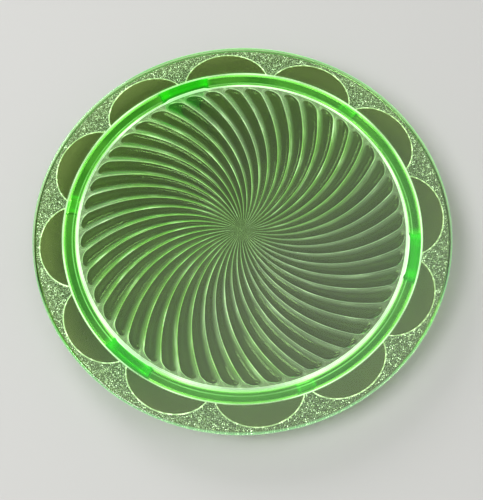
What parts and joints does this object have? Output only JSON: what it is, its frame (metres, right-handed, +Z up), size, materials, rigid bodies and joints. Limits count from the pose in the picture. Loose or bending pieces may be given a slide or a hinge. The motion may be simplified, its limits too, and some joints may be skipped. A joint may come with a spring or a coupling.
{
  "type": "footed glass plate",
  "caption": "Round flat plate of pressed green uranium glass with a swirl-reeded well, a lunette flange on stippled ground, a low foot ring and tab feet.",
  "frame": {"origin": "on the table plane, at the middle of the plate, under the centre of the swirl", "axes": "+Z up, out of the flat top; +Y through the first tab foot; +X to its right, seen from above"},
  "size_m": [0.26, 0.26, 0.022],
  "materials": {
    "clear_green_glass": "clear transparent yellow-green pressed glass, polished, with a faint fluorescence",
    "deep_green_glass": "the same glass where it is thickest, saturated and glowing green",
    "stippled_green_glass": "the same glass with fine raised grains or lines on its underside"
  },
  "bodies": {
    "root": {"well_disc": "clear_green_glass", "centre_spot": "clear_green_glass", "swirl_reeds_01": "clear_green_glass", "swirl_reeds_02": "clear_green_glass", "swirl_reeds_03": "clear_green_glass", "swirl_reeds_04": "clear_green_glass", "swirl_reeds_05": "clear_green_glass", "swirl_reeds_06": "clear_green_glass", "swirl_reeds_07": "clear_green_glass", "swirl_reeds_08": "clear_green_glass", "swirl_reeds_09": "clear_green_glass", "swirl_reeds_10": "clear_green_glass", "swirl_reeds_11": "clear_green_glass", "swirl_reeds_12": "clear_green_glass", "foot_ring": "deep_green_glass", "foot_1": "deep_green_glass", "foot_2": "deep_green_glass", "foot_3": "deep_green_glass", "ring_pad_1": "deep_green_glass", "ring_pad_2": "deep_green_glass", "ring_pad_3": "deep_green_glass", "stippled_ground": "stippled_green_glass", "lunette_panel_01": "clear_green_glass", "lunette_panel_02": "clear_green_glass", "lunette_panel_03": "clear_green_glass", "lunette_panel_04": "clear_green_glass", "lunette_panel_05": "clear_green_glass", "lunette_panel_06": "clear_green_glass", "lunette_panel_07": "clear_green_glass", "lunette_panel_08": "clear_green_glass", "lunette_panel_09": "clear_green_glass", "lunette_panel_10": "clear_green_glass", "lunette_panel_11": "clear_green_glass", "lunette_panel_12": "clear_green_glass", "lunette_line_01": "stippled_green_glass", "lunette_line_02": "stippled_green_glass", "lunette_line_03": "stippled_green_glass", "lunette_line_04": "stippled_green_glass", "lunette_line_05": "stippled_green_glass", "lunette_line_06": "stippled_green_glass", "lunette_line_07": "stippled_green_glass", "lunette_line_08": "stippled_green_glass", "lunette_line_09": "stippled_green_glass", "lunette_line_10": "stippled_green_glass", "lunette_line_11": "stippled_green_glass", "lunette_line_12": "stippled_green_glass", "rim_bead": "clear_green_glass"}
  },
  "joints": []
}
